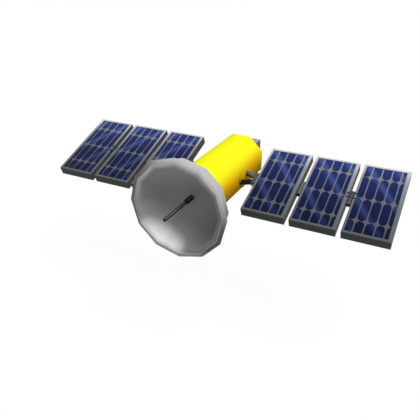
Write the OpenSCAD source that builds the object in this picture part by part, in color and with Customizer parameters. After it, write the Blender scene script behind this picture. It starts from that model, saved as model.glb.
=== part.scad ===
// Communications satellite: an octagonal bus with a twelve-sided dish on its front deck and two
// solar wings of three thick panels, each on a turning drive with a two-rod yoke.
// +X runs along the wing span, -Y is the way the dish looks, +Z is up.
// The origin is the centre of the launch ring's separation face, on the rear end of the bus axis.

/* [Bus] */
// Distance across the flats of the octagonal bus
bus_flats = 1398; // [1250:1:1700]
// Distance from the wing axis to the front deck
bus_front = 1500; // [1350:1:1560]
// Distance from the wing axis to the rear deck
bus_rear = 1416; // [1200:1:1900]
// Thickness of the outer panels of the bus
skin_t = 20; // [10:1:30]
// Thickness of the two end decks
deck_t = 25; // [15:1:40]

/* [Rear end] */
// Half width of the propulsion box behind the rear deck
box_half_w = 454; // [380:1:520]
// Half height of the propulsion box
box_half_h = 480; // [380:1:560]
// Depth of the propulsion box
box_depth = 459; // [250:1:600]
// Height of the launch ring behind the box
ring_h = 60; // [40:1:120]
// Bolt circle diameter of the launch ring (24 inches)
ring_pcd = 609.6; // [590:0.1:660]
// Length of the engine bell behind the box
bell_len = 280; // [200:1:340]
// Inner radius of the engine bell at its mouth
bell_mouth_r = 165; // [120:1:200]

/* [Dish] */
// Number of flat sides around the dish
dish_sides = 12; // [8:1:12]
// Turn of the dish's corners about its axis, in degrees
dish_turn = -0.5; // [-15:0.5:15]
// Corner radius of the bowl's edge
bowl_r = 1158; // [930:1:1400]
// Depth of the bowl from its edge to its bottom
bowl_depth = 824; // [660:1:1000]
// Width of the lip, from the bowl's edge out to the crest
lip_w = 114; // [90:1:150]
// Width of the rim, from the crest out to the widest corner
rim_w = 115; // [80:1:140]
// Distance that the shoulder lies outside the bowl's edge
shoulder_w = 122; // [100:1:160]
// Distance of the shoulder behind the bowl's edge
shoulder_set = 230; // [150:1:320]
// Wall thickness at the bottom of the bowl
dish_wall = 103; // [60:1:140]
// Distance between the dish's back and the front deck
mast_len = 168; // [130:1:300]

/* [Feed] */
// Radius of the thick stub at the bottom of the bowl
stub_r = 68; // [50:1:90]
// Length of the stub
stub_len = 323; // [200:1:420]
// Radius of the feed rod
rod_r = 42; // [25:1:48]
// Length of the feed rod beyond the stub
rod_len = 1086; // [700:1:1200]

/* [Wings] */
// Tilt of the wings about their axis at rest, rear edge up
wing_tilt = 21; // [0:0.5:40]
// Width of one solar panel, along the span
panel_w = 1200; // [1000:1:1450]
// Length of one solar panel, across the span
panel_l = 2500; // [1800:1:2700]
// Thickness of one solar panel
panel_t = 272; // [200:1:310]
// Gap between neighbouring panels
panel_gap = 132; // [120:1:150]
// Distance from the bus side to the root hinge line
root_reach = 355; // [320:1:600]
// Distance from the root hinge line to the first panel
root_gap = 90; // [88:1:110]
// Width of a panel's frame on its side nearest the bus
rim_inboard = 61; // [40:1:90]
// Width of a panel's frame on its side away from the bus
rim_outboard = 91; // [40:1:110]
// Width of a panel's frame at its two ends
rim_end = 68; // [40:1:90]
// Depth of the cell field below the frame's front face
recess_depth = 20; // [8:1:30]
// Width that a solar cell's rounded corner takes
corner_w = 96; // [20:1:110]
// Length that a solar cell's rounded corner takes
corner_l = 130; // [30:1:150]
// Gap between two columns of cells
column_gap = 34; // [15:1:45]
// Gap between two rows of cells
row_gap = 18; // [10:1:30]

/* [Yoke and hinges] */
// Radius of the drive's turning disc
disc_r = 285; // [240:1:310]
// Radius of the drive shaft
shaft_r = 80; // [50:1:100]
// Radius of a yoke rod
yoke_rod_r = 76; // [50:1:78]
// Radius of the root hinge barrel
barrel_r = 80; // [60:1:82]
// Radius of the root hinge pin
root_pin_r = 24; // [12:1:30]
// Half length of the hinge barrels, along the panel edge
barrel_half = 240; // [200:1:320]
// Height of a fold axis above the panel face it folds on
fold_lift = 20; // [18:1:26]
// Radius of the trunnion pins of the fold hinges
trunnion_r = 6; // [4:1:8]

/* [Hidden] */

$fn = 96;
eps = 1;            // overrun of a cutting tool
seat = 0.2;         // gap between seated round faces
bearing_gap = 0.05; // radial clearance of a running fit
clear = 5;          // least gap between moving pieces

// bus
bus_half = bus_flats / 2;
face_half = bus_half * tan(22.5);
wing_y = -(bus_rear + box_depth + ring_h); // wing axis in the part's frame
box_y = wing_y + bus_rear;                 // front face of the propulsion box
ring_y = box_y + box_depth;                // front face of the launch ring

// launch ring
ring_bolt_r = 4.2;
ring_bolts = 36;
ring_wall = 38;

// engine bell
bell_wall = 8;
bell_throat_r = 60;
bell_steps = 10;

// dish
dish_back_y = wing_y - bus_front - mast_len;
bowl_bottom_y = dish_back_y - dish_wall;
dish_edge_y = bowl_bottom_y - bowl_depth;
crest_r = bowl_r + lip_w;
rim_r = crest_r + rim_w;
shoulder_r = bowl_r + shoulder_w;
dish_steps = 6;            // rings on each face of the dish
rim_set = 47;              // outer rim behind the bowl's edge
crest_set = 15;            // crest behind the bowl's edge
back_flat_r = 380;         // flat middle of the dish's back
feed_seat_r = stub_r + 14; // flat middle of the bowl
mast_r = 330;
mast_flange_r = 420;
mast_flange_t = 20;

// drive
disc_t = 18;
disc_x = bus_half + clear;
shaft_len = 160;
bearing_r = 110;
bearing_len = 180;
pocket_room = 20;   // room behind the bearing, for the shaft's end
root_x = bus_half + root_reach;
rod_inset = 8;      // from the rim of the disc to a rod's side
yoke_hub_y = disc_r - yoke_rod_r - rod_inset;
yoke_root_y = 90;
rod_overrun = 80;   // length of a rod that is cut away where it meets the disc

// wing
panel_pitch = panel_w + panel_gap;
panel_x0 = root_x + root_gap;
edge_chamfer = 12;
cell_t = 4;
field_w = panel_w - rim_inboard - rim_outboard;
field_l = panel_l - 2 * rim_end;
// grid lines as fractions of the cell field: outwards from the bus, then from the front end back
column_lines = [0.178, 0.42, 0.66, 0.891];
row_lines = [0.171, 0.49, 0.831];

// hinges
lug_t = 24;
lug_gap = 2;
lug_foot = 60;
lug_eye_r = 12;
lug_start = 50;    // distance from the middle of the panel's edge to the first lug
root_lug_t = 45;
root_lug_r = 40;
drum_r = panel_gap / 2 - 4;
drum_shift = panel_gap / 2 - drum_r;
saddle_half_h = 30;
saddle_inset = 40;

// ---------- shapes shared by several pieces ----------

// octagon with a flat side on top, given its half distance across flats
module octagon(half) {
    rotate(22.5) circle(r = half / cos(22.5), $fn = 8);
}

// draws its 2-D children in the XZ plane and extrudes them from y = 0 towards +Y
module along_y(length) {
    rotate([90, 0, 0]) mirror([0, 0, 1]) linear_extrude(height = length) children();
}

// cylinder along Y from y = 0
module y_rod(r, length) {
    rotate([-90, 0, 0]) cylinder(r = r, h = length);
}

// one mitred wall of the bus, turned by a number of eighths from the top
module bus_wall(eighth) {
    inner = bus_half - skin_t;
    rotate([0, 45 * eighth, 0])
        translate([0, wing_y - bus_front + deck_t, 0])
            along_y(bus_front + bus_rear - 2 * deck_t)
                polygon([
                    [-face_half, bus_half],
                    [face_half, bus_half],
                    [inner * tan(22.5), inner],
                    [-inner * tan(22.5), inner]
                ]);
}

// places its children in the tilted frame of the wings, whose origin is on the wing axis
module wing_frame() {
    translate([0, wing_y, 0]) rotate([wing_tilt, 0, 0]) children();
}

// a wing piece on the north side (+X) or, mirrored, on the south side (-X)
module on_wing(side) {
    wing_frame() mirror([side == "south" ? 1 : 0, 0, 0]) children();
}

// rectangle with cut corners, centred
module cut_rect(w, h, c) {
    polygon([
        [-w / 2 + c, -h / 2], [w / 2 - c, -h / 2], [w / 2, -h / 2 + c], [w / 2, h / 2 - c],
        [w / 2 - c, h / 2], [-w / 2 + c, h / 2], [-w / 2, h / 2 - c], [-w / 2, -h / 2 + c]
    ]);
}

// ---------- bus ----------

module bus_core() {
    color("#c9a227")
        difference() {
            translate([0, wing_y - bus_front + deck_t, 0])
                along_y(bus_front + bus_rear - 2 * deck_t) octagon(bus_half - skin_t);
            for (side = [-1, 1])
                translate([side * (bus_half - bearing_len - pocket_room), wing_y, 0])
                    rotate([0, 90 * side, 0])
                        cylinder(r = bearing_r + seat, h = bearing_len + pocket_room);
        }
}

module bus_side_panels() {
    color("#d6a400")
        for (side = [-1, 1])
            difference() {
                bus_wall(2 * side);
                translate([side * (bus_half - skin_t - eps), wing_y, 0])
                    rotate([0, 90 * side, 0]) cylinder(r = bearing_r + seat, h = skin_t + 2 * eps);
            }
}

module bus_corner_panels() {
    color("#f0c20a")
        for (eighth = [1, 3, 5, 7]) bus_wall(eighth);
}

module bus_top_bottom_panels() {
    color("#fff624")
        for (eighth = [0, 4]) bus_wall(eighth);
}

module bus_decks() {
    color("#e8c020")
        for (y = [wing_y - bus_front, box_y - deck_t])
            translate([0, y, 0]) along_y(deck_t) octagon(bus_half);
}

module drive_bearings() {
    color("#b8bcc0")
        for (side = [-1, 1])
            translate([side * (bus_half - bearing_len), wing_y, 0])
                rotate([0, 90 * side, 0])
                    difference() {
                        cylinder(r = bearing_r, h = bearing_len);
                        translate([0, 0, -eps])
                            cylinder(r = shaft_r + bearing_gap, h = bearing_len + 2 * eps);
                    }
}

// ---------- rear end ----------

module propulsion_box() {
    color("#8a8d90")
        translate([0, box_y, 0])
            along_y(box_depth) cut_rect(2 * box_half_w, 2 * box_half_h, edge_chamfer);
}

module launch_ring() {
    outer = ring_pcd / 2 + ring_wall / 2;
    inner = ring_pcd / 2 - ring_wall / 2;
    color("#c4c8cc")
        translate([0, ring_y, 0])
            rotate([-90, 0, 0])
                difference() {
                    cylinder(r = outer, h = ring_h);
                    translate([0, 0, -eps]) cylinder(r = inner, h = ring_h + 2 * eps);
                    for (i = [0:ring_bolts - 1])
                        rotate(360 * i / ring_bolts)
                            translate([ring_pcd / 2, 0, -eps])
                                cylinder(r = ring_bolt_r, h = ring_h + 2 * eps, $fn = 24);
                }
}

// bell inner radius at a fraction of its length from the throat
function bell_r(t) = bell_throat_r + (bell_mouth_r - bell_throat_r) * sqrt(t);

module engine_bell() {
    inner = [for (i = [1:bell_steps]) [bell_r(i / bell_steps), bell_len * i / bell_steps]];
    outer = [for (i = [bell_steps:-1:1])
        [bell_r(i / bell_steps) + bell_wall, bell_len * i / bell_steps]];
    color("#5a5550")
        translate([0, ring_y, 0])
            rotate([-90, 0, 0])
                rotate_extrude()
                    polygon(concat(
                        [[0, 0], [0, bell_len * 0.06], [bell_throat_r * 0.9, bell_len * 0.06]],
                        inner,
                        outer,
                        [[bell_throat_r + bell_wall, 0]]
                    ));
}

// ---------- dish ----------

module dish_mast() {
    color("#4a4c4e")
        translate([0, dish_back_y, 0]) {
            translate([0, seat, 0]) y_rod(mast_r, mast_len - seat);
            translate([0, mast_len - mast_flange_t, 0]) y_rod(mast_flange_r, mast_flange_t);
        }
}

// the dish's section as [radius, distance behind the plane of the bowl's edge]
// from the feed's flat seat to the bowl's edge, along an ellipse
function bowl_points() = concat(
    [[0, bowl_depth]],
    [for (i = [0:dish_steps])
        let (a = 90 * i / dish_steps)
            [feed_seat_r + (bowl_r - feed_seat_r) * sin(a), bowl_depth * cos(a)]]
);
// from the shoulder to the flat middle of the back, along an ellipse
function back_points() = [for (i = [0:dish_steps - 2])
    let (a = 90 * (1 - i / dish_steps))
        [back_flat_r + (shoulder_r - back_flat_r) * sin(a),
         shoulder_set + (bowl_depth + dish_wall - shoulder_set) * cos(a)]];

module dish_reflector() {
    color("#c0c0c0")
        translate([0, dish_edge_y, 0])
            rotate([-90, 0, 0])
                rotate(90 + dish_turn)
                    rotate_extrude($fn = dish_sides)
                        polygon(concat(
                            bowl_points(),
                            [[crest_r, crest_set], [rim_r, rim_set]],
                            back_points(),
                            [[back_flat_r, bowl_depth + dish_wall], [0, bowl_depth + dish_wall]]
                        ));
}

module feed_stub() {
    color("#3c3e40")
        translate([0, bowl_bottom_y - stub_len, 0]) y_rod(stub_r, stub_len - seat);
}

module feed_rod() {
    color("#2c2e30")
        translate([0, bowl_bottom_y - stub_len - rod_len, 0]) y_rod(rod_r, rod_len);
}

// ---------- wing, drawn on the north side in the wing's frame ----------

module drive_hub() {
    color("#e0b414")
        rotate([0, 90, 0]) {
            translate([0, 0, disc_x]) cylinder(r = disc_r, h = disc_t);
            translate([0, 0, bus_half - shaft_len]) cylinder(r = shaft_r, h = shaft_len + clear);
        }
}

module yoke_rods() {
    run = root_x - disc_x - disc_t;
    rise = yoke_hub_y - yoke_root_y;
    rod_angle = atan(rise / run);
    color("#2c2e30")
        for (side = [-1, 1])
            difference() {
                translate([disc_x + disc_t, side * yoke_hub_y, 0])
                    rotate([0, 0, -side * rod_angle])
                        translate([-rod_overrun, 0, 0])
                            rotate([0, 90, 0])
                                cylinder(r = yoke_rod_r, h = run / cos(rod_angle) + rod_overrun);
                translate([disc_x + disc_t - 2 * rod_overrun, -2 * disc_r, -disc_r])
                    cube([2 * rod_overrun, 4 * disc_r, 2 * disc_r]);
                translate([root_x, -barrel_half, 0]) y_rod(barrel_r + seat, 2 * barrel_half);
            }
}

module root_barrel() {
    half = barrel_half - root_lug_t - clear;
    color("#3a3c3e")
        translate([root_x, -half, 0])
            difference() {
                y_rod(barrel_r, 2 * half);
                translate([0, -eps, 0]) y_rod(root_pin_r + bearing_gap, 2 * half + 2 * eps);
            }
}

module root_pin() {
    color("#a0a4a8")
        translate([root_x, -barrel_half, 0]) y_rod(root_pin_r, 2 * barrel_half);
}

// left edge of panel number i, counted from the root
function panel_x(i) = panel_x0 + i * panel_pitch;

module panel_frame(i) {
    color("#6e7276")
        difference() {
            intersection() {
                translate([panel_x(i) + panel_w / 2, -panel_l / 2, 0])
                    along_y(panel_l) cut_rect(panel_w, panel_t, edge_chamfer);
                translate([panel_x(i), 0, 0])
                    rotate([90, 0, 90])
                        linear_extrude(height = panel_w) cut_rect(panel_l, panel_t, edge_chamfer);
            }
            translate([panel_x(i) + rim_inboard, -field_l / 2, panel_t / 2 - recess_depth])
                cube([field_w, field_l, recess_depth + eps]);
        }
}

// [start, end, is first, is last] of each strip that a set of lines leaves in a field
function strips(lines, field, gap) = [for (k = [0:len(lines)])
    [
        k == 0 ? 0 : lines[k - 1] * field + gap / 2,
        k == len(lines) ? field : lines[k] * field - gap / 2,
        k == 0,
        k == len(lines)
    ]];

// size of a rounded corner across strip s, limited where the strip is narrow
function corner_size(wanted, s) = min(wanted, (s[1] - s[0]) * (s[2] || s[3] ? 0.9 : 0.47));

// points of a cell's corner at [x, y], of size w by l, the cell lying towards [sx, sy]: a quarter of
// an ellipse from the cell's side to its end, or only the corner where it isn't rounded
function cell_corner(x, y, sx, sy, w, l, rounded) = rounded
    ? [for (a = [0:22.5:90]) [x + sx * w * (1 - cos(a)), y + sy * l * (1 - sin(a))]]
    : [[x, y]];

function reversed(points) = [for (k = [len(points) - 1:-1:0]) points[k]];

// outline of the cell in strip c of the columns and strip r of the rows
function cell_outline(c, r) =
    let (w = corner_size(corner_w, c), l = corner_size(corner_l, r))
        concat(
            cell_corner(c[0], r[0], 1, 1, w, l, !c[2] && !r[2]),
            reversed(cell_corner(c[1], r[0], -1, 1, w, l, !c[3] && !r[2])),
            cell_corner(c[1], r[1], -1, -1, w, l, !c[3] && !r[3]),
            reversed(cell_corner(c[0], r[1], 1, -1, w, l, !c[2] && !r[3]))
        );

module panel_cells(i) {
    color("#1f2c6e")
        translate([panel_x(i) + rim_inboard, -field_l / 2, panel_t / 2 - recess_depth])
            linear_extrude(height = cell_t)
                for (c = strips(column_lines, field_w, column_gap), r = strips(row_lines, field_l, row_gap))
                    polygon(cell_outline(c, r));
}

// axis position of the fold hinge after panel i: [x, z], behind panel 0 and in front of panel 1
function fold_axis(i) = [
    panel_x(i) + panel_w + panel_gap / 2,
    (i == 0 ? -1 : 1) * (panel_t / 2 + fold_lift)
];

// one lug of a fold hinge, its eye on the origin and its foot towards dir, resting on z = -fold_lift
module lug_profile(dir) {
    reach = panel_gap / 2 + lug_foot;
    circle(r = lug_eye_r);
    translate([dir > 0 ? 0 : -reach, -fold_lift]) square([reach, fold_lift + lug_eye_r]);
}

// lugs of fold hinge i: "inboard" ones have a bore, "outboard" ones carry the trunnion pins
module fold_lugs(i, part) {
    axis = fold_axis(i);
    for (side = [-1, 1])
        translate([axis[0], 0, axis[1]])
            mirror([0, 0, i == 0 ? 1 : 0])
                mirror([0, side < 0 ? 1 : 0, 0])
                    translate([0, lug_start, 0])
                        if (part == "inboard")
                            difference() {
                                along_y(lug_t) lug_profile(-1);
                                translate([0, -eps, 0]) y_rod(trunnion_r + bearing_gap, lug_t + 2 * eps);
                            }
                        else {
                            translate([0, lug_t + lug_gap, 0]) along_y(lug_t) lug_profile(1);
                            translate([0, -clear, 0]) y_rod(trunnion_r, clear + lug_t + lug_gap + 1);
                        }
}

module root_lugs() {
    for (y = [-barrel_half, barrel_half - root_lug_t])
        translate([root_x, y, 0])
            difference() {
                along_y(root_lug_t)
                    union() {
                        circle(r = root_lug_r);
                        translate([0, -root_lug_r]) square([root_gap, 2 * root_lug_r]);
                    }
                translate([0, -eps, 0]) y_rod(root_pin_r + bearing_gap, root_lug_t + 2 * eps);
            }
}

// latch drum in the gap after panel i, fixed to that panel's edge at mid depth
module latch_drum(i) {
    color("#3f4245")
        translate([fold_axis(i)[0] - drum_shift, -barrel_half, 0]) {
            y_rod(drum_r, 2 * barrel_half);
            translate([-drum_r, saddle_inset, -saddle_half_h])
                cube([drum_r, 2 * (barrel_half - saddle_inset), 2 * saddle_half_h]);
        }
}

module inner_lugs() {
    color("#3a3c3e") {
        root_lugs();
        fold_lugs(0, "inboard");
    }
}

module middle_lugs() {
    color("#3a3c3e") {
        fold_lugs(0, "outboard");
        fold_lugs(1, "inboard");
    }
}

module outer_lugs() {
    color("#3a3c3e") fold_lugs(1, "outboard");
}

// ---------- the whole satellite ----------

bus_core();
bus_side_panels();
bus_corner_panels();
bus_top_bottom_panels();
bus_decks();
drive_bearings();
propulsion_box();
launch_ring();
engine_bell();
dish_mast();
dish_reflector();
feed_stub();
feed_rod();

on_wing("north") drive_hub();  // north_drive_hub
on_wing("north") yoke_rods();  // north_yoke_rods
on_wing("north") root_barrel();  // north_root_barrel
on_wing("north") root_pin();  // north_root_pin
on_wing("north") panel_frame(0);  // north_inner_panel
on_wing("north") panel_cells(0);  // north_inner_cells
on_wing("north") inner_lugs();  // north_inner_lugs
on_wing("north") latch_drum(0);  // north_inner_drum
on_wing("north") panel_frame(1);  // north_middle_panel
on_wing("north") panel_cells(1);  // north_middle_cells
on_wing("north") middle_lugs();  // north_middle_lugs
on_wing("north") latch_drum(1);  // north_middle_drum
on_wing("north") panel_frame(2);  // north_outer_panel
on_wing("north") panel_cells(2);  // north_outer_cells
on_wing("north") outer_lugs();  // north_outer_lugs

on_wing("south") drive_hub();  // south_drive_hub
on_wing("south") yoke_rods();  // south_yoke_rods
on_wing("south") root_barrel();  // south_root_barrel
on_wing("south") root_pin();  // south_root_pin
on_wing("south") panel_frame(0);  // south_inner_panel
on_wing("south") panel_cells(0);  // south_inner_cells
on_wing("south") inner_lugs();  // south_inner_lugs
on_wing("south") latch_drum(0);  // south_inner_drum
on_wing("south") panel_frame(1);  // south_middle_panel
on_wing("south") panel_cells(1);  // south_middle_cells
on_wing("south") middle_lugs();  // south_middle_lugs
on_wing("south") latch_drum(1);  // south_middle_drum
on_wing("south") panel_frame(2);  // south_outer_panel
on_wing("south") panel_cells(2);  // south_outer_cells
on_wing("south") outer_lugs();  // south_outer_lugs
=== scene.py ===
"""Looks of a communications satellite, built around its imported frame.

The bus is an octagonal body in a foil blanket, with a twelve-sided dish and its feed in front, two
wings of three thick solar panels at its sides, and a propulsion box, an engine bell and a launch
ring behind. Lengths are metres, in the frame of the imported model: +X along the span, -Y the way
the dish looks, +Z up.

Several finishes lay a soft highlight or shade on the surface as a tint, by direction on the piece.
"""

import logging
import math
from dataclasses import dataclass
from enum import Enum
from typing import Any, Iterable, Sequence, Union

import bpy
import numpy as np
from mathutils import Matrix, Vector


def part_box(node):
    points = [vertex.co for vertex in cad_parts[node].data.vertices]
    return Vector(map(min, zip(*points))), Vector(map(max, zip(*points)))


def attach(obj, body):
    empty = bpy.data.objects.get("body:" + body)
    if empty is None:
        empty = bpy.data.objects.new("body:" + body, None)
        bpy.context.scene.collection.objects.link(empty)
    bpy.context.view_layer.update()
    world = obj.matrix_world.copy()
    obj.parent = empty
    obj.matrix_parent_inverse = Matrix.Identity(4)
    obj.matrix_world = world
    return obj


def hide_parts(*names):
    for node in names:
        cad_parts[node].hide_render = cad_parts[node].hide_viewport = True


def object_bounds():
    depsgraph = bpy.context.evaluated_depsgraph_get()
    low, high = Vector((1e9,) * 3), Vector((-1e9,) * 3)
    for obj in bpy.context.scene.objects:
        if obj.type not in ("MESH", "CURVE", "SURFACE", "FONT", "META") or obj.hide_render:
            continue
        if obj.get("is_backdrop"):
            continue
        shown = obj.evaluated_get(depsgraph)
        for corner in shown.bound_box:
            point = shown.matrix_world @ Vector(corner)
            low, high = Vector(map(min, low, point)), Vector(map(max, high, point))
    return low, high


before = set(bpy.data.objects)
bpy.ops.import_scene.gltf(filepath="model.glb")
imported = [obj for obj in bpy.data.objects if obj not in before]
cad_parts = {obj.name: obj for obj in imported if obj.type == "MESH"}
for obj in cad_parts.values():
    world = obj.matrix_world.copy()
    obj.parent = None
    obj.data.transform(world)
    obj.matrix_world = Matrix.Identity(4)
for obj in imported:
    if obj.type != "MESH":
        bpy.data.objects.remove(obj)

LOG = logging.getLogger("satellite")
PANEL_THICKNESS = 0.272
WING_TILT = math.radians(21)
WHITE = (1.0, 1.0, 1.0)
BLACK = (0.0, 0.0, 0.0)
# Socket numbers of the Mix node, whose sockets share their names.
MIX_FACTOR = 0
MIX_VECTORS = (4, 5)
MIX_COLOURS = (6, 7)
VECTOR_RESULT = 1
COLOUR_RESULT = 2
Colour = tuple[float, float, float]
Number = Union[float, "Signal"]


class Side(Enum):
    """The two wings, with the sign of X on each."""

    NORTH = 1
    SOUTH = -1

    @property
    def word(self) -> str:
        """The wing's name as the frame's pieces use it."""
        return self.name.lower()


class Place(Enum):
    """The three panels of a wing, counted from the bus."""

    INNER = 0
    MIDDLE = 1
    OUTER = 2

    @property
    def word(self) -> str:
        """The panel's name as the frame's pieces use it."""
        return self.name.lower()


# ---------------------------------------------------------------- shader maths


def srgb(code: str) -> Colour:
    """Turns a screen colour into the linear colour that a shader takes.

    Args:
        code: Six hexadecimal digits after a hash.

    Returns:
        Linear red, green and blue, by the usual two-part display curve.
    """
    parts = [int(code[i : i + 2], 16) / 255 for i in (1, 3, 5)]
    linear = [p / 12.92 if p <= 0.04045 else ((p + 0.055) / 1.055) ** 2.4 for p in parts]
    return linear[0], linear[1], linear[2]


class Signal:
    """A number carried by a shader socket. Arithmetic on it adds Math nodes."""

    def __init__(self, shader: "Shader", socket: bpy.types.NodeSocket | None) -> None:
        """Wraps one output socket of a shader's node, or none where the node has no output."""
        self.shader = shader
        self.socket = socket

    def beside(self, output: Union[int, str]) -> "Signal":
        """Another output of the same node."""
        return Signal(self.shader, self.socket.node.outputs[output])

    def _math(self, operation: str, first: Number, second: Number = 0.0) -> "Signal":
        """Adds one Math node that works on the two numbers."""
        return self.shader.node("ShaderNodeMath", {"operation": operation}, {0: first, 1: second})

    def __add__(self, other: Number) -> "Signal":
        """Sum."""
        return self._math("ADD", self, other)

    def __radd__(self, other: Number) -> "Signal":
        """Sum with a plain number in front."""
        return self._math("ADD", other, self)

    def __sub__(self, other: Number) -> "Signal":
        """Difference."""
        return self._math("SUBTRACT", self, other)

    def __rsub__(self, other: Number) -> "Signal":
        """Difference from a plain number."""
        return self._math("SUBTRACT", other, self)

    def __mul__(self, other: Number) -> "Signal":
        """Product."""
        return self._math("MULTIPLY", self, other)

    def __rmul__(self, other: Number) -> "Signal":
        """Product with a plain number in front."""
        return self._math("MULTIPLY", other, self)

    def __truediv__(self, other: Number) -> "Signal":
        """Quotient."""
        return self._math("DIVIDE", self, other)

    def __abs__(self) -> "Signal":
        """Size without sign."""
        return self._math("ABSOLUTE", self)

    def __mod__(self, other: Number) -> "Signal":
        """Remainder, never negative."""
        return self._math("FLOORED_MODULO", self, other)

    def angle_over(self, other: Number) -> "Signal":
        """Angle, in radians, of the arrow whose parts are this number and the other."""
        return self._math("ARCTAN2", self, other)

    def root(self) -> "Signal":
        """Square root."""
        return self._math("SQRT", self)

    def lower(self, other: Number) -> "Signal":
        """The lower of two numbers."""
        return self._math("MINIMUM", self, other)

    def higher(self, other: Number) -> "Signal":
        """The higher of two numbers."""
        return self._math("MAXIMUM", self, other)

    def rise(self, low: float, high: float) -> "Signal":
        """A mask that goes smoothly from 0 to 1 as this number goes from low to high.

        Args:
            low: Where the mask is still 0.
            high: Where the mask is 1.

        Returns:
            The mask as a signal.
        """
        return self.shader.node(
            "ShaderNodeMapRange",
            {"interpolation_type": "SMOOTHSTEP"},
            {0: self, 1: low, 2: high, 3: 0.0, 4: 1.0},
        )


@dataclass(frozen=True)
class Spread:
    """A value that varies over a surface: a base, and how far a mask of 1 raises it."""

    base: float
    step: float

    def over(self, mask: Signal) -> Signal:
        """The base plus the step times the mask."""
        return self.base + mask * self.step


class Shader:
    """The nodes of a material or a world, and the few ways in which this script adds to them."""

    def __init__(self, name: str, world: bpy.types.World | None = None) -> None:
        """Starts an empty material with that name, or empties the world that is given."""
        self.owner = world or bpy.data.materials.new(name)
        self.owner.use_nodes = True
        self.tree = self.owner.node_tree
        self.tree.nodes.clear()

    def node(
        self,
        kind: str,
        settings: dict[str, Any] | None = None,
        inputs: dict[Any, Any] | None = None,
        output: Union[int, str] = 0,
    ) -> Signal:
        """Adds a node.

        Args:
            kind: The node's type.
            settings: Its settings, which are set first; "stops" are a ramp's places and colours.
            inputs: Values or links of its sockets, by name or number.
            output: The output socket that is returned.

        Returns:
            The chosen output as a signal.
        """
        made = self.tree.nodes.new(kind)
        for key, value in (settings or {}).items():
            if key == "stops":
                self._set_stops(made.color_ramp, value)
            else:
                setattr(made, key, value)
        for key, value in (inputs or {}).items():
            if isinstance(value, Signal):
                self.tree.links.new(value.socket, made.inputs[key])
            elif isinstance(value, tuple) and made.inputs[key].type == "RGBA":
                made.inputs[key].default_value = (*value, 1.0)
            else:
                made.inputs[key].default_value = value
        return Signal(self, made.outputs[output] if len(made.outputs) else None)

    @staticmethod
    def _set_stops(ramp: bpy.types.ColorRamp, stops: Sequence[tuple[float, Colour]]) -> None:
        """Gives a colour ramp its places and colours, in order.

        Args:
            ramp: The ramp that is filled.
            stops: Its places between 0 and 1, each with a colour.
        """
        while len(ramp.elements) < len(stops):
            ramp.elements.new(1.0)
        for element, (place, colour) in zip(ramp.elements, stops):
            element.position = place
            element.color = (*colour, 1.0)

    def coordinates(self) -> tuple[Signal, Signal, Signal]:
        """The three Object coordinates of the surface, in metres.

        Returns:
            x, y and z as signals.
        """
        place = self.node("ShaderNodeTexCoord", output="Object")
        x = self.node("ShaderNodeSeparateXYZ", inputs={0: place})
        return x, x.beside(1), x.beside(2)

    def facing(self, axis: int) -> Signal:
        """How far the surface's own normal points along an axis of the piece, without sign."""
        normal = self.node("ShaderNodeTexCoord", output="Normal")
        return abs(self.node("ShaderNodeSeparateXYZ", inputs={0: normal}, output=axis))

    def combine(self, x: Number, y: Number, z: Number) -> Signal:
        """A vector from three numbers."""
        return self.node("ShaderNodeCombineXYZ", inputs={0: x, 1: y, 2: z})

    def mix(self, factor: Number, first: Any, second: Any) -> Signal:
        """A colour between two colours."""
        inputs = {MIX_FACTOR: factor, MIX_COLOURS[0]: first, MIX_COLOURS[1]: second}
        return self.node("ShaderNodeMix", {"data_type": "RGBA"}, inputs, COLOUR_RESULT)

    def shade(self, colour: Any, amount: Number) -> Signal:
        """A colour multiplied by a number at every place.

        Args:
            colour: The colour, plain or a signal.
            amount: The number.

        Returns:
            The product as a signal.
        """
        scaled = self.combine(amount, amount, amount)
        settings = {"data_type": "RGBA", "blend_type": "MULTIPLY"}
        inputs = {MIX_FACTOR: 1.0, MIX_COLOURS[0]: colour, MIX_COLOURS[1]: scaled}
        return self.node("ShaderNodeMix", settings, inputs, COLOUR_RESULT)

    def ramp(self, amount: Number, stops: Sequence[tuple[float, Colour]]) -> Signal:
        """A colour read from a row of stops at places between 0 and 1."""
        return self.node("ShaderNodeValToRGB", {"stops": stops}, {0: amount})

    def noise(
        self, scale: float, detail: float = 3.0, stretch: Sequence[float] = (1, 1, 1)
    ) -> Signal:
        """Smooth noise between 0 and 1 on the Object coordinates.

        Args:
            scale: Waves in a metre.
            detail: Octaves of finer noise.
            stretch: How much finer the noise is along each axis.

        Returns:
            The noise as a signal.
        """
        place = self.node("ShaderNodeTexCoord", output="Object")
        scaled = self.node("ShaderNodeMapping", inputs={"Vector": place, "Scale": tuple(stretch)})
        inputs = {"Vector": scaled, "Scale": scale, "Detail": detail}
        return self.node("ShaderNodeTexNoise", inputs=inputs)

    def bump(
        self, height: Signal, distance: float, strength: float, normal: Signal | None = None
    ) -> Signal:
        """A normal tilted by a height field.

        Args:
            height: The field, between 0 and 1.
            distance: Its depth in metres.
            strength: Share of the tilt that is kept.
            normal: The normal that is tilted, where it isn't the surface's own.

        Returns:
            The tilted normal.
        """
        inputs = {"Strength": strength, "Distance": distance, "Height": height}
        if normal is not None:
            inputs["Normal"] = normal
        return self.node("ShaderNodeBump", inputs=inputs)

    def close(
        self, varied: dict[str, Any], fixed: dict[str, float] | None = None
    ) -> bpy.types.Material:
        """Ends the material with a Principled shader.

        Args:
            varied: What changes over the surface, by socket name.
            fixed: What is the same all over, by socket name.

        Returns:
            The finished material.
        """
        shader = self.node("ShaderNodeBsdfPrincipled", inputs={**varied, **(fixed or {})})
        self.node("ShaderNodeOutputMaterial", inputs={"Surface": shader})
        return self.owner


# ---------------------------------------------------------------- finishes


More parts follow.
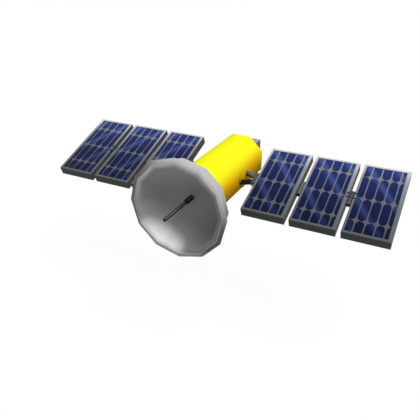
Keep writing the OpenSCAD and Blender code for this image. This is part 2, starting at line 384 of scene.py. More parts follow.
@dataclass(frozen=True)
class BlanketFinish:
    """Foil blanket of the bus: lemon on its upper side, gold at the turn and amber below.

    The tint is painted light: lemon as a painted highlight on top, gold and amber as painted shade
    lower down. It goes round the bus's axis, and the normals point away from it, so that the flats
    shade as one round body. Each tint is an angle from the top toward the north side, in degrees,
    and a colour.
    """

    name: str = "yellow_blanket"
    # Painted highlight and shade round the axis: lemon at the top, gold at the turns, amber low on
    # both sides.
    tints: tuple[tuple[float, str], ...] = (
        (-112.0, "#a87c00"),
        (-80.0, "#e8b008"),
        (-45.0, "#ffce0e"),
        (-24.0, "#ffee14"),
        (-13.0, "#fffe1a"),
        (24.0, "#ffff24"),
        (55.0, "#fff61f"),
        (66.0, "#ffd81c"),
        (71.0, "#fcc814"),
        (90.0, "#dca604"),
        (112.0, "#c49000"),
    )
    flat_ends: bool = True
    end_face: tuple[float, float] = (0.5, 0.6)
    axis_reach: float = 0.01
    crease_scale: float = 9.0
    crease_stretch: tuple[float, float, float] = (1.0, 0.35, 1.0)
    crease_depth: float = 0.0012
    crease_strength: float = 0.08
    grain_scale: float = 160.0
    # The tone follows the crease field: a faint painted shade in the crease hollows.
    tone: Spread = Spread(0.985, 0.02)
    roughness: Spread = Spread(0.5, 0.12)

    def make(self) -> bpy.types.Material:
        """Builds the blanket.

        Returns:
            A material whose tint, painted highlight and shade, is a ramp over the angle of a place
            round the bus's axis, and whose normal is the direction away from that axis, except on
            the end faces.
        """
        shader = Shader(self.name)
        x, _, z = shader.coordinates()
        reach = (x * x + z * z).root().higher(self.axis_reach)
        turn = x.angle_over(z) * (0.5 / math.pi) + 0.5
        # The tint is painted light: a ramp of highlight and shade by angle round the bus's axis.
        tint = shader.ramp(turn, [(angle / 360 + 0.5, srgb(code)) for angle, code in self.tints])
        outward = shader.combine(x / reach, 0.0, z / reach)
        settings = {"vector_type": "NORMAL", "convert_from": "OBJECT", "convert_to": "WORLD"}
        rounded = shader.node("ShaderNodeVectorTransform", settings, {0: outward})
        if self.flat_ends:
            flat = shader.node("ShaderNodeNewGeometry", output="Normal")
            ends = shader.facing(1).rise(*self.end_face)
            inputs = {MIX_FACTOR: ends, MIX_VECTORS[0]: rounded, MIX_VECTORS[1]: flat}
            rounded = shader.node("ShaderNodeMix", {"data_type": "VECTOR"}, inputs, VECTOR_RESULT)
        crease = shader.noise(self.crease_scale, 4.0, self.crease_stretch)
        grain = shader.noise(self.grain_scale, 2.0)
        normal = shader.bump(crease, self.crease_depth, self.crease_strength, rounded)
        varied = {
            # The base colour is a little darker in the crease hollows, as painted shade.
            "Base Color": shader.shade(tint, self.tone.over(crease)),
            "Roughness": self.roughness.over(grain),
            "Normal": normal,
        }
        return shader.close(varied, {"Specular IOR Level": 0.01})


@dataclass(frozen=True)
class PaintFinish:
    """Satin paint, slightly mottled, with painted shade on the faces along Y where it has one."""

    name: str
    colour: Colour
    # Darker colour for the faces along Y: painted shade.
    ends: Colour | None = None
    roughness: float = 0.5
    mottle: float = 0.06
    specular: float = 0.15
    end_face: tuple[float, float] = (0.55, 0.8)
    mottle_scale: float = 3.0
    peel_scale: float = 220.0
    peel_depth: float = 0.0003
    peel_roughness: float = 0.1

    def make(self) -> bpy.types.Material:
        """Builds the paint, as a colour times broad noise over an orange-peel bump.

        Returns:
            The finished material.
        """
        shader = Shader(self.name)
        broad = shader.noise(self.mottle_scale, 3.0)
        peel = shader.noise(self.peel_scale, 2.0)
        tint: Any = self.colour
        if self.ends is not None:
            # Painted shade on the faces along Y.
            tint = shader.mix(shader.facing(1).rise(*self.end_face), self.colour, self.ends)
        varied = {
            "Base Color": shader.shade(tint, Spread(1 - self.mottle / 2, self.mottle).over(broad)),
            "Roughness": Spread(self.roughness, self.peel_roughness).over(peel),
            "Normal": shader.bump(peel, self.peel_depth, 0.3),
        }
        return shader.close(varied, {"Specular IOR Level": self.specular})


@dataclass(frozen=True)
class BoxFinish:
    """Grey propulsion box panels, with a paler border on each face as painted highlight."""

    half_width: float
    half_height: float
    middle: Colour = srgb("#9ba0a5")
    # The border colour is a painted highlight along the edges; the darker side colour is painted
    # shade on the faces along X.
    border: Colour = srgb("#bcc1c5")
    flank: Colour = srgb("#63676b")
    border_width: float = 0.05
    border_full: float = 0.6
    side_face: tuple[float, float] = (0.5, 0.6)
    mottle_scale: float = 4.0
    peel_scale: float = 180.0
    peel_depth: float = 0.0004
    tone: Spread = Spread(0.96, 0.08)
    roughness: Spread = Spread(0.5, 0.1)

    def make(self) -> bpy.types.Material:
        """Builds the panels: the border is where two faces are near, by distance to the edges.

        Returns:
            The finished material.
        """
        shader = Shader("box_grey")
        x, _, z = shader.coordinates()
        to_side = self.half_width - abs(x)
        to_top = self.half_height - abs(z)
        inset = to_side.higher(to_top)
        # Painted highlight: a paler border along the edges of each face.
        edge = 1 - inset.rise(self.border_width * self.border_full, self.border_width)
        broad = shader.noise(self.mottle_scale, 3.0)
        peel = shader.noise(self.peel_scale, 2.0)
        tint = shader.mix(edge, self.middle, self.border)
        # Painted shade: the faces along X take the darker side colour.
        tint = shader.mix(shader.facing(0).rise(*self.side_face), tint, self.flank)
        varied = {
            "Base Color": shader.shade(tint, self.tone.over(broad)),
            "Roughness": self.roughness.over(peel),
            "Normal": shader.bump(peel, self.peel_depth, 0.3),
        }
        return shader.close(varied, {"Specular IOR Level": 0.1})


@dataclass(frozen=True)
class Stretch:
    """A stretch of another tint to one side of the dish's axis.

    The way (x, z) points from the axis to the stretch's middle. The stretch starts and is full at
    those shares of the radius, measured along the way. A paler tint is a painted highlight, a
    darker one painted shade.
    """

    tint: Colour
    way: tuple[float, float]
    start: float
    full: float


@dataclass(frozen=True)
class DishFinish:
    """Satin grey of the dish, with soft highlights and shade laid round its axis as tints."""

    name: str
    radius: float
    grey: Colour
    stretches: tuple[Stretch, ...]
    rings: float = 2.4
    ring_waver: float = 0.6
    ring_step: float = 0.025
    mottle_scale: float = 2.5
    peel_scale: float = 260.0
    peel_depth: float = 0.0003
    tone: Spread = Spread(0.97, 0.03)
    roughness: Spread = Spread(0.42, 0.1)

    def make(self) -> bpy.types.Material:
        """Builds the paint: grey mixed with each stretch's tint in turn, over faint spun rings.

        Returns:
            The finished material.
        """
        shader = Shader(self.name)
        x, _, z = shader.coordinates()
        tint: Any = self.grey
        for stretch in self.stretches:
            reach = (x * stretch.way[0] + z * stretch.way[1]) / self.radius
            tint = shader.mix(reach.rise(stretch.start, stretch.full), tint, stretch.tint)
        broad = shader.noise(self.mottle_scale, 2.0)
        peel = shader.noise(self.peel_scale, 2.0)
        spun = shader.node(
            "ShaderNodeTexWave",
            {"wave_type": "RINGS", "rings_direction": "Y"},
            {"Scale": self.rings, "Distortion": self.ring_waver, "Detail": 2.0},
        )
        varied = {
            "Base Color": shader.shade(tint, self.tone.over(broad) + spun * self.ring_step),
            "Roughness": self.roughness.over(peel),
            "Normal": shader.bump(peel, self.peel_depth, 0.2),
        }
        return shader.close(varied, {"Specular IOR Level": 0.2})


@dataclass(frozen=True)
class MetalFinish:
    """Bare turned metal, with fine rings round its axis and a slight tint."""

    name: str
    colour: Colour
    roughness: float = 0.35
    rings_per_metre: float = 180.0
    ring_stretch: tuple[float, float, float] = (0.05, 1.0, 0.05)
    ring_depth: float = 0.0003
    ring_roughness: float = 0.15
    stain_scale: float = 5.0
    tone: Spread = Spread(0.9, 0.14)

    def make(self) -> bpy.types.Material:
        """Builds the metal, with noise that is much finer along Y than around the axis.

        Returns:
            The finished material.
        """
        shader = Shader(self.name)
        turned = shader.noise(self.rings_per_metre, 2.0, self.ring_stretch)
        stain = shader.noise(self.stain_scale, 3.0)
        varied = {
            "Base Color": shader.shade(self.colour, self.tone.over(stain)),
            "Roughness": Spread(self.roughness, self.ring_roughness).over(turned),
            "Normal": shader.bump(turned, self.ring_depth, 0.3),
        }
        return shader.close(varied, {"Metallic": 1.0})


@dataclass(frozen=True)
class FeedFinish:
    """Black wound composite of the feed, with a grey painted highlight along its upper north side.
    """

    black: Colour = srgb("#060607")
    sheen: Colour = srgb("#6c6e70")
    way: tuple[float, float] = (0.60, 0.80)
    band: tuple[float, float] = (0.90, 0.985)
    end_face: tuple[float, float] = (0.3, 0.6)
    axis_reach: float = 0.001

    def make(self) -> bpy.types.Material:
        """Builds the composite: grey painted highlight where the surface looks along a direction
        (x, z).

        Returns:
            The finished material.
        """
        shader = Shader("feed_composite")
        x, _, z = shader.coordinates()
        reach = (x * x + z * z).root().higher(self.axis_reach)
        along_way = ((x * self.way[0] + z * self.way[1]) / reach).rise(*self.band)
        share = along_way * (1 - shader.facing(1).rise(*self.end_face))
        return wound_composite(shader, shader.mix(share, self.black, self.sheen))


@dataclass(frozen=True)
class RodFinish:
    """Black wound composite of the yoke, with a grey painted highlight on the rear rod's upper
    side.
    """

    wing: "WingFrame"
    rod_radius: float = 0.076
    black: Colour = srgb("#08090a")
    sheen: Colour = srgb("#5f6365")
    behind_axis: tuple[float, float] = (0.0, 0.03)
    above_middle: tuple[float, float] = (-0.1, 0.7)

    def make(self) -> bpy.types.Material:
        """Builds the composite: grey painted highlight behind the wing's axis and above a rod's
        middle.

        Returns:
            The finished material.
        """
        shader = Shader("yoke_composite")
        _, from_rear, height = self.wing.across(shader)
        behind = (self.wing.length / 2 - from_rear).rise(*self.behind_axis)
        above = (height / self.rod_radius).rise(*self.above_middle)
        return wound_composite(shader, shader.mix(behind * above, self.black, self.sheen))


def wound_composite(shader: Shader, tint: Signal) -> bpy.types.Material:
    """Ends a material as satin wound composite.

    Args:
        shader: The material to end.
        tint: Its colour before the flecks.

    Returns:
        The material, with a helical winding in its roughness and its bump.
    """
    winding = shader.node(
        "ShaderNodeTexWave",
        {"bands_direction": "DIAGONAL"},
        {"Scale": 40.0, "Distortion": 1.5, "Detail": 2.0},
    )
    fleck = shader.noise(60.0, 2.0)
    varied = {
        "Base Color": shader.shade(tint, Spread(0.9, 0.2).over(fleck)),
        "Roughness": Spread(0.4, 0.1).over(winding),
        "Normal": shader.bump(winding, 0.0003, 0.2),
    }
    return shader.close(varied, {"Specular IOR Level": 0.12})


@dataclass(frozen=True)
class WingFrame:
    """Places on a wing: the tilt of its plane and the rhythm of its panels."""

    axis_y: float
    tilt: float
    first_edge: float
    pitch: float
    length: float
    thickness: float

    def across(self, shader: Shader) -> tuple[Signal, Signal, Signal]:
        """Panel coordinates of a place.

        Returns:
            Distance from the panel's inboard edge, distance from its rear end, and height above
            its middle plane: the Object coordinates turned back by the tilt about the wing axis.
        """
        x, y, z = shader.coordinates()
        back = y - self.axis_y
        inboard = (abs(x) - self.first_edge) % self.pitch
        along = back * math.cos(self.tilt) + z * math.sin(self.tilt)
        height = z * math.cos(self.tilt) - back * math.sin(self.tilt)
        return inboard, self.length / 2 - along, height


@dataclass(frozen=True)
class CellFinish:
    """Blue solar cells under glass, with diagonal bands of paler blue for reflected light."""

    wing: WingFrame
    rear: Colour = srgb("#2a3574")
    middle: Colour = srgb("#171f4e")
    front: Colour = srgb("#0b102c")
    band_rear: Colour = srgb("#43589c")
    band_front: Colour = srgb("#131c4a")
    slope: float = 1.35
    band_centres: tuple[float, ...] = (-1.13, -0.08, 1.19, 2.07)
    band_half: float = 0.24
    middle_at: float = 0.45
    fingers_scale: float = 60.0
    finger_step: float = 0.04
    grain_scale: float = 35.0
    tone: Spread = Spread(0.93, 0.1)
    roughness: Spread = Spread(0.35, 0.1)

    def make(self) -> bpy.types.Material:
        """Builds the cells.

        Returns:
            A material whose blue darkens toward the front end, with a band wherever the distance
            from the rear end, less a slope times the distance from the inboard edge, is near one
            of the band centres.
        """
        shader = Shader("solar_cell")
        inboard, from_rear, _ = self.wing.across(shader)
        share = from_rear / self.wing.length
        blues = [(0.0, self.rear), (self.middle_at, self.middle), (1.0, self.front)]
        base = shader.ramp(share, blues)
        streak = shader.ramp(share, [(0.0, self.band_rear), (1.0, self.band_front)])
        slant = from_rear - inboard * self.slope
        band: Number = 0.0
        for centre in self.band_centres:
            band = (1 - abs(slant - centre).rise(0.0, self.band_half)) + band
        finger = shader.node(
            "ShaderNodeTexWave",
            {"bands_direction": "X"},
            {"Scale": self.fingers_scale, "Distortion": 0.0},
        )
        grain = shader.noise(self.grain_scale, 3.0)
        tint = shader.mix(band.lower(1.0), base, streak)
        tone = self.tone.over(grain) + finger * self.finger_step
        varied = {
            "Base Color": shader.shade(tint, tone),
            "Roughness": self.roughness.over(grain),
        }
        return shader.close(varied, {"Specular IOR Level": 0.05})


@dataclass(frozen=True)
class PanelFinish:
    """Panel frames: pale at the rear end and darker toward the front, with side walls in painted
    shade.
    """

    wing: WingFrame
    rear: Colour = srgb("#d0d4d6")
    upper: Colour = srgb("#979b9d")
    lower: Colour = srgb("#6f7274")
    front: Colour = srgb("#5e6162")
    # Painted shade of the side walls, on the faces along X and on the others.
    wall: Colour = srgb("#4a4d4f")
    wall_end: Colour = srgb("#505355")
    upper_at: float = 0.2
    lower_at: float = 0.6
    wall_drop: tuple[float, float] = (0.03, 0.01)
    side_face: tuple[float, float] = (0.4, 0.6)
    weave_scale: float = 220.0
    weave_step: float = 0.015
    mottle_scale: float = 5.0
    grain_scale: float = 90.0
    grain_depth: float = 0.0004
    tone: Spread = Spread(0.95, 0.08)
    roughness: Spread = Spread(0.5, 0.12)

    def make(self) -> bpy.types.Material:
        """Builds the frame: a ramp from the rear end to the front, and painted shade below the
        face.

        Returns:
            The finished material.
        """
        shader = Shader("panel_frame")
        _, from_rear, height = self.wing.across(shader)
        share = from_rear / self.wing.length
        stops = [
            (0.0, self.rear),
            (self.upper_at, self.upper),
            (self.lower_at, self.lower),
            (1.0, self.front),
        ]
        face = shader.ramp(share, stops)
        top = self.wing.thickness / 2
        below = 1 - height.rise(top - self.wall_drop[0], top - self.wall_drop[1])
        # Painted shade: the walls below the face are darker, a little more on the faces along X.
        walls = shader.mix(shader.facing(0).rise(*self.side_face), self.wall_end, self.wall)
        squares = {"Scale": self.weave_scale, "Color1": WHITE, "Color2": BLACK}
        weave = shader.node("ShaderNodeTexChecker", inputs=squares, output="Fac")
        broad = shader.noise(self.mottle_scale, 3.0)
        grain = shader.noise(self.grain_scale, 2.0)
        tint = shader.mix(below, face, walls)
        tone = self.tone.over(broad) + weave * self.weave_step
        varied = {
            "Base Color": shader.shade(tint, tone),
            "Roughness": self.roughness.over(grain),
            "Normal": shader.bump(grain, self.grain_depth, 0.3),
        }
        return shader.close(varied, {"Specular IOR Level": 0.1})


# ---------------------------------------------------------------- surfaces


def ring_faces(rings: int, around: int) -> np.ndarray:
    """Faces between neighbouring rings of a closed loft.

    Args:
        rings: Number of rings.
        around: Points in each ring.

    Returns:
        Rows of four point numbers, ring after ring, each ring's last point joined to its first.
    """
    i, j = np.meshgrid(np.arange(rings - 1), np.arange(around), indexing="ij")
    k = (j + 1) % around
    corners = [i * around + j, i * around + k, (i + 1) * around + k, (i + 1) * around + j]
    return np.stack(corners, axis=-1).reshape(-1, 4)


def dressed(obj: bpy.types.Object, materials: Iterable[bpy.types.Material]) -> bpy.types.Object:
    """Gives an object its materials in order, in place of any it has.

    Args:
        obj: The object.
        materials: Its materials, the first slot's first.

    Returns:
        The same object.
    """
    if len(obj.data.materials):
        obj.data.materials.clear()
    for material in materials:
        obj.data.materials.append(material)
    return obj


def linked(
    name: str, points: np.ndarray, faces: Sequence[Sequence[int]], smooth: bool = True
) -> bpy.types.Object:
    """Makes a mesh object, smooth or flat, from points and faces, and links it to the scene.

    Args:
        name: The object's name.
        points: Rows of x, y and z.
        faces: Point numbers of each face, counted round its outward normal.
        smooth: Whether its faces are shaded smooth.

    Returns:
        The object.
    """
    mesh = bpy.data.meshes.new(name)
    mesh.from_pydata(points.tolist(), [], faces)
    mesh.polygons.foreach_set("use_smooth", np.full(len(faces), smooth))
    mesh.update()
    obj = bpy.data.objects.new(name, mesh)
    bpy.context.scene.collection.objects.link(obj)
    return obj


def revolved(
    name: str,
    profile: np.ndarray,
    sides: int,
    turn: float = 0.0,
    inner_rings: int | None = None,
) -> bpy.types.Object:
    """Makes a smooth piece by carrying a profile round the Y axis.

    A point of ring i at angle a is (radius_i sin a, y_i, radius_i cos a), where a goes round in
    equal steps. The first and last rings close to single points.

    Args:
        name: The piece's name.
        profile: Rows of radius and place along Y, from pole to pole, both ends at radius 0.
        sides: Points in each ring.
        turn: Angle of the first point, in radians.
        inner_rings: How many rows of faces, from the first pole, take the first material, where
            the others take the second. With none given, every face takes the first.

    Returns:
        The piece, linked to the scene.
    """
    angle = turn + np.arange(sides) * (2 * math.pi / sides)
    radius, along = profile[1:-1, 0], profile[1:-1, 1]
    shape = (len(radius), sides)
    points = np.empty((*shape, 3))
    points[..., 0] = radius[:, None] * np.sin(angle)
    points[..., 1] = along[:, None]
    points[..., 2] = radius[:, None] * np.cos(angle)
    flat = points.reshape(-1, 3)
    poles = np.array([[0.0, profile[0, 1], 0.0], [0.0, profile[-1, 1], 0.0]])
    first, last = len(flat), len(flat) + 1
    this = np.arange(sides)
    following = (this + 1) % sides
    base = (len(radius) - 1) * sides
    cap = np.stack([np.full(sides, first), following, this], axis=-1)
    tail = np.stack([np.full(sides, last), base + this, base + following], axis=-1)
    body = ring_faces(len(radius), sides)
    faces = [*cap.tolist(), *body.tolist(), *tail.tolist()]
    obj = linked(name, np.vstack([flat, poles]), faces)
    if inner_rings is not None:
        outer = np.arange(len(faces)) >= inner_rings * sides
        obj.data.polygons.foreach_set("material_index", outer.astype(np.int32))
    return obj


def bead(
    name: str,
    radius: float,
    along: float,
    sides: int,
    turn: float,
    thick: float,
    around: int = 10,
) -> bpy.types.Object:
    """Makes a round bead along the edge of a regular polygon about the Y axis.

    The polygon's corner k is (radius sin a, along, radius cos a), where a = turn + k whole steps.
    Its sections are regular too: each lies in the plane through its corner and the axis, and its
    point at angle b is out from the corner by thick cos b and toward -Y by thick sin b.

    Args:
        name: The piece's name.
        radius: Radius of the polygon's corners.
        along: Place of the polygon along Y.
        sides: Number of the polygon's corners.
        turn: Angle of the first corner, in radians.
        thick: Radius of the bead.
        around: Points in each section.

    Returns:
        The piece, linked to the scene.
    """
    a = (turn + np.arange(sides + 1) * (2 * math.pi / sides))[:, None]
    b = (np.arange(around) * (2 * math.pi / around))[None, :]
    out = radius + thick * np.cos(b)
    depth = np.broadcast_to(along - thick * np.sin(b), (sides + 1, around))
    points = np.stack([out * np.sin(a), depth, out * np.cos(a)], axis=-1)
    loop = points[:-1].reshape(-1, 3)
    faces = ring_faces(sides + 1, around) % len(loop)
    return linked(name, loop, faces.tolist())


def rounded_rod(
    low: float, high: float, radius: float, nose: float, steps: int = 9, edge: float = 0.004
) -> np.ndarray:
    """Profile of a rod along Y with a quarter-ellipse nose at its low end.

    Args:
        low: Place of the nose's tip.
        high: Place of the flat end.
        radius: Radius of the rod.
        nose: Length of the nose.
        steps: Rings of the nose.
        edge: Width of the chamfer at the flat end.

    Returns:
        Rows of radius and place: radius times the sine, and nose times one less the cosine, of an
        angle that goes from 0 to 90 degrees, then the straight part with close rings at its end.
    """
    a = np.linspace(0, math.pi / 2, steps)
    tip = np.stack([radius * np.sin(a), low + nose * (1 - np.cos(a))], axis=-1)
    straight = np.array([[radius, high - 3 * edge], [radius, high - edge], [radius - edge, high]])
    return np.vstack([tip, straight, [[0.0, high]]])


# ---------------------------------------------------------------- sub-assemblies


@dataclass
class Bus:
    """The octagonal body, its drive bearings and what stands behind it."""

    blanket: bpy.types.Material
    bearing: bpy.types.Material
    ring: bpy.types.Material
    bell: bpy.types.Material
    panels: Sequence[str] = (
        "bus_core",
        "bus_side_panels",
        "bus_corner_panels",
        "bus_top_bottom_panels",
        "bus_decks",
    )

    def dress(self) -> None:
        """Covers the body in its blanket and finishes the metal behind it."""
        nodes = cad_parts
        for name in self.panels:
            dressed(nodes[name], [self.blanket])
        dressed(nodes["drive_bearings"], [self.bearing])
        dressed(nodes["launch_ring"], [self.ring])
        dressed(nodes["engine_bell"], [self.bell])
        low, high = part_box("propulsion_box")
        finish = BoxFinish(half_width=(high.x - low.x) / 2, half_height=(high.z - low.z) / 2)
        dressed(nodes["propulsion_box"], [finish.make()])
        LOG.info("bus: %d pieces", len(self.panels) + 4)


@dataclass
class Dish:
    """The twelve-sided reflector on its mast, with a pale bead along its crest as a painted glint.
    """

    mast: bpy.types.Material
    bead: bpy.types.Material
    bead_radius: float = 0.004
    sides: int = 12
    turn: float = math.radians(-0.5)
    bowl_radius: float = 1.158
    bowl_depth: float = 0.824
    seat_radius: float = 0.082
    lip_width: float = 0.114
    crest_set: float = 0.015
    rim_width: float = 0.115
    rim_set: float = 0.047
    shoulder_width: float = 0.122
    shoulder_set: float = 0.230
    back_radius: float = 0.38
    wall: float = 0.103
    steps: int = 12
    bowl_grey: Colour = srgb("#9e9e9e")
    shell_grey: Colour = srgb("#8e8e8e")
    # Painted light in the bowl: a painted highlight toward the top, painted shade toward the lower
    # north side, and a white painted highlight at the lower south edge.
    bowl_stretches: tuple[Stretch, ...] = (
        Stretch(srgb("#cccccc"), (-0.20, 0.98), 0.1, 1.0),
        Stretch(srgb("#8c8c8c"), (0.80, -0.60), 0.1, 0.9),
        Stretch(srgb("#ffffff"), (-0.46, -0.89), 0.73, 1.02),
    )
    # Painted light outside: painted shade toward the lower north and the south side, painted
    # highlights toward the upper north and the bottom.
    shell_stretches: tuple[Stretch, ...] = (
        Stretch(srgb("#6c6c6c"), (0.75, -0.66), 0.1, 0.9),
        Stretch(srgb("#c0c0c0"), (0.50, 0.87), 0.3, 1.0),
        Stretch(srgb("#cccccc"), (-0.35, -0.94), 0.4, 1.0),
        Stretch(srgb("#727272"), (-0.98, 0.20), 0.6, 1.1),
    )

    def profile(self) -> np.ndarray:
        """The dish's closed section.

        Returns:
            Rows of radius and distance behind the bowl's edge: a quarter ellipse from the seat to
            the bowl's edge, the crest, the rim, and a quarter ellipse from the shoulder to the
            flat back, with both ends on the axis.
        """
        a = np.linspace(0, math.pi / 2, self.steps + 1)
        bowl_r = self.seat_radius + (self.bowl_radius - self.seat_radius) * np.sin(a)
        bowl = np.stack([bowl_r, self.bowl_depth * np.cos(a)], axis=-1)
        b = a[::-1]
        reach = self.bowl_depth + self.wall - self.shoulder_set
        shoulder = self.bowl_radius + self.shoulder_width
        back_r = self.back_radius + (shoulder - self.back_radius) * np.sin(b)
        back = np.stack([back_r, self.shoulder_set + reach * np.cos(b)], axis=-1)
        crest = self.bowl_radius + self.lip_width
        lip = [[crest, self.crest_set], [crest + self.rim_width, self.rim_set]]
        seat_middle = [[0.0, self.bowl_depth]]
        back_middle = [[0.0, self.bowl_depth + self.wall]]
        return np.vstack([seat_middle, bowl, lip, back, back_middle])

    def build(self) -> bpy.types.Object:
        """Makes the reflector in place of its plain solid.

        Returns:
            The piece, linked to the scene.
        """
        low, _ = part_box("dish_reflector")
        profile = self.profile()
        profile[:, 1] += low.y
        inner_rings = 1 + self.steps + 1  # the seat, the bowl and the lip
        return revolved("dish_shell", profile, self.sides, self.turn, inner_rings)

    def dress(self) -> None:
        """Paints the bowl and the outside, and finishes the mast."""
        reflector = self.build()
        bowl = DishFinish("dish_bowl", self.bowl_radius, self.bowl_grey, self.bowl_stretches)
        shell = DishFinish("dish_shell", self.bowl_radius, self.shell_grey, self.shell_stretches)
        dressed(reflector, [bowl.make(), shell.make()])
        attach(reflector, "bus")
        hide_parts("dish_reflector")
        low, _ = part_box("dish_reflector")
        crest = self.bowl_radius + self.lip_width
        place = low.y + self.crest_set
        strip = bead("dish_edge_bead", crest, place, self.sides, self.turn, self.bead_radius)
        # The bead's pale paint is a painted glint along the crest.
        dressed(strip, [self.bead])
        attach(strip, "bus")
        dressed(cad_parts["dish_mast"], [self.mast])
        LOG.info("dish: shell of %d faces", len(reflector.data.polygons))


@dataclass
class Feed:
    """The feed's thick stub and its rod, both with rounded front ends."""

    composite: bpy.types.Material
    around: int = 48
    stub_nose: float = 0.02
    rod_nose: float = 0.035

    def dress(self) -> None:
        """Makes the stub and the rod in place of their plain solids."""
        for node, nose in (("feed_stub", self.stub_nose), ("feed_rod", self.rod_nose)):
            low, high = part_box(node)
            profile = rounded_rod(low.y, high.y, (high.x - low.x) / 2, nose)
            piece = revolved(node + "_wound", profile, self.around)
            dressed(piece, [self.composite])
            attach(piece, "bus")
            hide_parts(node)
            LOG.info("%s: %.3f m long", node, high.y - low.y)


@dataclass
class Wing:
    """One wing: its drive and yoke, three panels with their cells, and the hinges between them."""

    side: Side
    blanket: bpy.types.Material
    composite: bpy.types.Material
    hinge: bpy.types.Material
    barrel: bpy.types.Material
    pin: bpy.types.Material
    frame_finish: bpy.types.Material
    cell_finish: bpy.types.Material

    def dress(self) -> None:
        """Gives every piece of the wing its finish."""
        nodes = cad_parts
        word = self.side.word
        dressed(nodes[f"{word}_drive_hub"], [self.blanket])
        dressed(nodes[f"{word}_yoke_rods"], [self.composite])
        dressed(nodes[f"{word}_root_barrel"], [self.barrel])
        dressed(nodes[f"{word}_root_pin"], [self.pin])
        for place in Place:
            stem = f"{word}_{place.word}"
            dressed(nodes[f"{stem}_panel"], [self.frame_finish])
            dressed(nodes[f"{stem}_cells"], [self.cell_finish])
            dressed(nodes[f"{stem}_lugs"], [self.barrel])
            if place is not Place.OUTER:
                dressed(nodes[f"{stem}_drum"], [self.hinge])
            LOG.info("%s panel dressed", stem)


# ---------------------------------------------------------------- studio


@dataclass
class Studio:
    """A pale floor far below, an even white surround, one soft key light and the camera."""

    eye: tuple[float, float, float] = (5.7256, -14.0269, 5.8842)
    look: tuple[float, float, float] = (-0.3971, 0.7889, -0.4690)
    field_of_view: float = 45.30
    key_from: tuple[float, float, float] = (0.45, -0.18, 0.87)
    key_power: float = 2.35
    key_spread: float = 30.0
    ambient: float = 0.34
    floor_drop: float = 3.0
    floor_half: float = 90.0
    floor_shade: float = 0.32
    floor_pale: float = 0.95
    floor_glow: float = 0.96
    sight: float = 1000.0

    def camera(self) -> None:
        """Sets the camera down at its place, level, looking along its direction."""
        data = bpy.data.cameras.new("camera")
        data.angle = math.radians(self.field_of_view)
        data.clip_end = self.sight
        obj = bpy.data.objects.new("camera", data)
        obj.location = self.eye
        obj.rotation_mode = "QUATERNION"
        obj.rotation_quaternion = Vector(self.look).to_track_quat("-Z", "Y")
        bpy.context.scene.collection.objects.link(obj)
        bpy.context.scene.camera = obj

    def key(self) -> None:
        """Hangs the soft key light."""
        data = bpy.data.lights.new("key", "SUN")
        data.energy = self.key_power
        data.angle = math.radians(self.key_spread)
        obj = bpy.data.objects.new("key", data)
        obj.rotation_mode = "QUATERNION"
        obj.rotation_quaternion = (-Vector(self.key_from)).to_track_quat("-Z", "Y")
        bpy.context.scene.collection.objects.link(obj)

    @staticmethod
    def _seen(shader: Shader) -> Signal:
        """1 for what the camera sees directly, in gloss or through glass, and 0 otherwise.

        Args:
            shader: The nodes that are added to.

        Returns:
            The mask as a signal.
        """
        direct = shader.node("ShaderNodeLightPath", output="Is Camera Ray")
        glossy = direct.beside("Is Glossy Ray")
        through = direct.beside("Is Transmission Ray")
        return direct.higher(glossy).higher(through)

    def surround(self) -> None:
        """Makes the world white to the eye and an even soft grey to the light."""
        world = bpy.data.worlds.new("surround")
        shader = Shader("surround", world)
        seen = self._seen(shader)
        strength = seen * (1 - self.ambient) + self.ambient
        sky = {"Color": WHITE, "Strength": strength}
        light = shader.node("ShaderNodeBackground", inputs=sky)
        shader.node("ShaderNodeOutputWorld", inputs={"Surface": light})
        bpy.context.scene.world = world

    def floor(self) -> None:
        """Lays the floor below the lowest point of the object."""
        low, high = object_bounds()
        z = low.z - self.floor_drop
        middle = (low + high) / 2
        u = np.array([-1.0, 1.0, 1.0, -1.0]) * self.floor_half + middle.x
        v = np.array([-1.0, -1.0, 1.0, 1.0]) * self.floor_half + middle.y
        points = np.stack([u, v, np.full(4, z)], axis=-1)
        obj = linked("floor", points, [(0, 1, 2, 3)], smooth=False)
        shader = Shader("floor")
        seen = self._seen(shader)
        paint = shader.node("ShaderNodeBsdfDiffuse", inputs={"Color": (self.floor_shade,) * 3})
        pale = shader.node("ShaderNodeBsdfDiffuse", inputs={"Color": (self.floor_pale,) * 3})
        white = shader.node("ShaderNodeEmission", inputs={"Color": WHITE, "Strength": 1.0})
        bright = shader.node("ShaderNodeMixShader", inputs={0: self.floor_glow, 1: pale, 2: white})
        surface = shader.node("ShaderNodeMixShader", inputs={0: seen, 1: paint, 2: bright})
        shader.node("ShaderNodeOutputMaterial", inputs={"Surface": surface})
        dressed(obj, [shader.owner])
        obj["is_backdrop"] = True

    def build(self) -> None:
        """Sets up the camera, the light and what is around the object."""
        scene = bpy.context.scene
        scene.view_settings.view_transform = "Standard"
        self.camera()
        self.key()
        self.surround()
        self.floor()


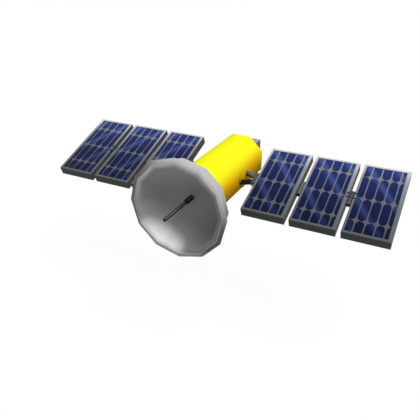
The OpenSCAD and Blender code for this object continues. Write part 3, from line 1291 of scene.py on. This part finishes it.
def wing_frame() -> WingFrame:
    """Reads the wings' rhythm from the frame.

    Returns:
        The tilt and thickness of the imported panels, with their length and spacing from the boxes
        of the north ones. The length is the box's depth, less what the tilted edge takes of it,
        over the cosine of the tilt.
    """
    boxes = {place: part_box(f"north_{place.word}_panel") for place in Place}
    low, high = boxes[Place.INNER]
    hub_low, hub_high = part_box("north_drive_hub")
    across_edge = PANEL_THICKNESS * math.sin(WING_TILT)
    length = (high.y - low.y - across_edge) / math.cos(WING_TILT)
    return WingFrame(
        axis_y=(hub_low.y + hub_high.y) / 2,
        tilt=WING_TILT,
        first_edge=low.x,
        pitch=boxes[Place.MIDDLE][0].x - low.x,
        length=length,
        thickness=PANEL_THICKNESS,
    )


def main() -> None:
    """Builds the satellite's looks and its studio."""
    logging.basicConfig(level=logging.INFO, format="%(name)s: %(message)s")
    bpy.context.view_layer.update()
    wing = wing_frame()
    blanket = BlanketFinish().make()
    hub = BlanketFinish("hub_blanket", flat_ends=False).make()
    # The hinge drums' near-black faces along Y are painted shade.
    hinge = PaintFinish("hinge_grey", srgb("#6b6f71"), ends=srgb("#101112"), mottle=0.1).make()
    barrel = PaintFinish("barrel_grey", srgb("#4c4f51"), mottle=0.1).make()
    composite = RodFinish(wing).make()
    steel = MetalFinish("pin_steel", srgb("#b9bcc0")).make()
    Bus(
        blanket=blanket,
        bearing=steel,
        ring=MetalFinish("bare_ring", srgb("#c9cccf")).make(),
        bell=MetalFinish("bell_metal", srgb("#8a7d72"), roughness=0.4).make(),
    ).dress()
    Dish(
        mast=PaintFinish("mast_grey", srgb("#55585b")).make(),
        # Pale paint on the bead, as a painted glint along the crest.
        bead=PaintFinish("bead_glint", srgb("#dedede"), roughness=0.3, specular=0.6).make(),
    ).dress()
    Feed(composite=FeedFinish().make()).dress()
    frame_finish = PanelFinish(wing).make()
    cell_finish = CellFinish(wing).make()
    for side in Side:
        Wing(side, hub, composite, hinge, barrel, steel, frame_finish, cell_finish).dress()
    Studio().build()


if __name__ == "__main__":
    main()
